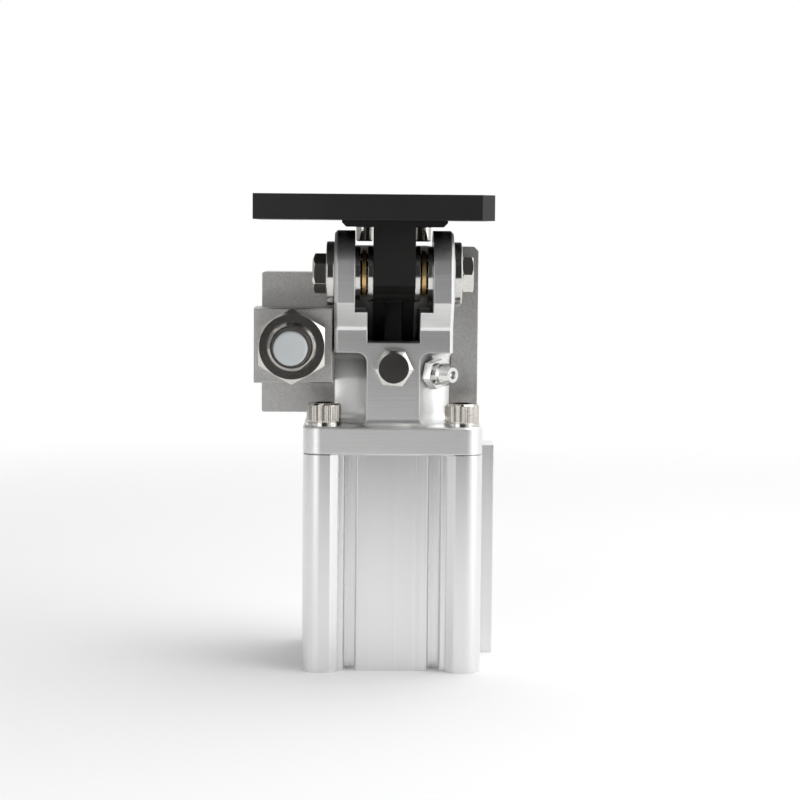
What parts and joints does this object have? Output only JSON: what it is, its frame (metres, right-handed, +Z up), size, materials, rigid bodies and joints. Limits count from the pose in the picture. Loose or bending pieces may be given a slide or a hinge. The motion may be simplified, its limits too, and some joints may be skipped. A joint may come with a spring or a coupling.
{
  "type": "tilting lever actuator",
  "caption": "Compact square cylinder whose rod tilts a hinged black tool plate a quarter turn through a crank lever, with a side shock absorber that catches it.",
  "frame": {"origin": "centre of the cylinder body's base face, in the plane it stands on", "axes": "+Z up along the piston rod, -Y to the front where the hinge stands proud, -X to the shock absorber"},
  "size_m": [0.0713, 0.079, 0.138],
  "materials": {
    "anodised_body": "satin clear anodised extrusion",
    "machined_cap": "fine milled, clear anodised",
    "side_block": "milled, satin anodised",
    "inner_aluminium": "turned",
    "nickel_screws": "nickel plated, knurled heads",
    "nickel_washers": "nickel plated",
    "nickel_hex": "bright nickel plated",
    "polished_nipple": "polished",
    "black_lever": "black oxide steel",
    "black_plate": "matte black coated steel",
    "bearing_steel": "ground",
    "brass_cage": "stamped brass",
    "bronze_bush": "sintered bronze",
    "black_rubber": "nitrile",
    "wear_plastic": "filled PTFE",
    "magnet": "plastic bonded ferrite",
    "chromed_rod": "hard chrome",
    "shock_steel": "nickel plated thread",
    "spring_steel": "drawn wire",
    "white_cap": "moulded acetal"
  },
  "bodies": {
    "housing": {"cylinder_body": "anodised_body", "clevis_cap": "machined_cap", "cap_screws": "nickel_screws", "cap_spring_washers": "nickel_washers", "cap_o_ring": "black_rubber", "rod_bush": "bronze_bush", "rod_seal": "black_rubber", "bottom_bumper": "black_rubber", "top_bumper": "black_rubber", "bush_lock_bolt": "nickel_hex", "grease_nipple": "polished_nipple", "hinge_sleeve": "bearing_steel", "hinge_bolt": "nickel_hex", "hinge_nut": "nickel_hex", "hinge_washers": "nickel_washers", "thrust_races_fixed": "bearing_steel", "shock_bracket": "side_block", "bracket_screws": "nickel_screws", "shock_holder": "side_block", "holder_screws": "nickel_screws", "shock_body": "shock_steel", "shock_nut": "nickel_hex", "shock_spring": "spring_steel", "side_plate": "side_block", "side_plate_screws": "nickel_screws"},
    "lever": {"lever": "black_lever", "lever_bush": "bronze_bush", "tool_plate": "black_plate", "plate_screws": "nickel_screws", "plate_spring_washers": "nickel_washers", "crank_pin": "bearing_steel", "thrust_races_lever": "bearing_steel"},
    "piston": {"piston": "inner_aluminium", "piston_seals": "black_rubber", "wear_ring": "wear_plastic", "magnet_ring": "magnet", "piston_bolt": "spring_steel", "piston_rod": "chromed_rod", "rod_end": "black_lever"},
    "plunger": {"plunger_rod": "chromed_rod", "plunger_cap": "white_cap"},
    "bearing_cages": {"ball_cages": "brass_cage", "thrust_balls": "bearing_steel"}
  },
  "joints": [
    {"name": "lever_tilt", "type": "hinge", "parent": "housing", "child": "lever", "pos_m": [0, -0.018, 0.1155], "axis": [1, 0, 0], "range_deg": [0, 90]},
    {"name": "piston_stroke", "type": "slide", "parent": "housing", "child": "piston", "axis": [0, 0, 1], "range_m": [0, 0.03]},
    {"name": "plunger_stroke", "type": "slide", "parent": "housing", "child": "plunger", "axis": [0, 1, 0], "range_m": [0, 0.005], "deforming": ["shock_spring"]},
    {"name": "cage_roll", "type": "hinge", "parent": "housing", "child": "bearing_cages", "pos_m": [0, -0.018, 0.1155], "axis": [1, 0, 0], "range_deg": [0, 45]}
  ],
  "couplings": [
    {"joint": "lever_tilt", "follows": "piston_stroke", "rad_per_m": 52.36},
    {"joint": "plunger_stroke", "follows": "piston_stroke", "ratio": 0.16666},
    {"joint": "cage_roll", "follows": "piston_stroke", "rad_per_m": 26.18}
  ]
}
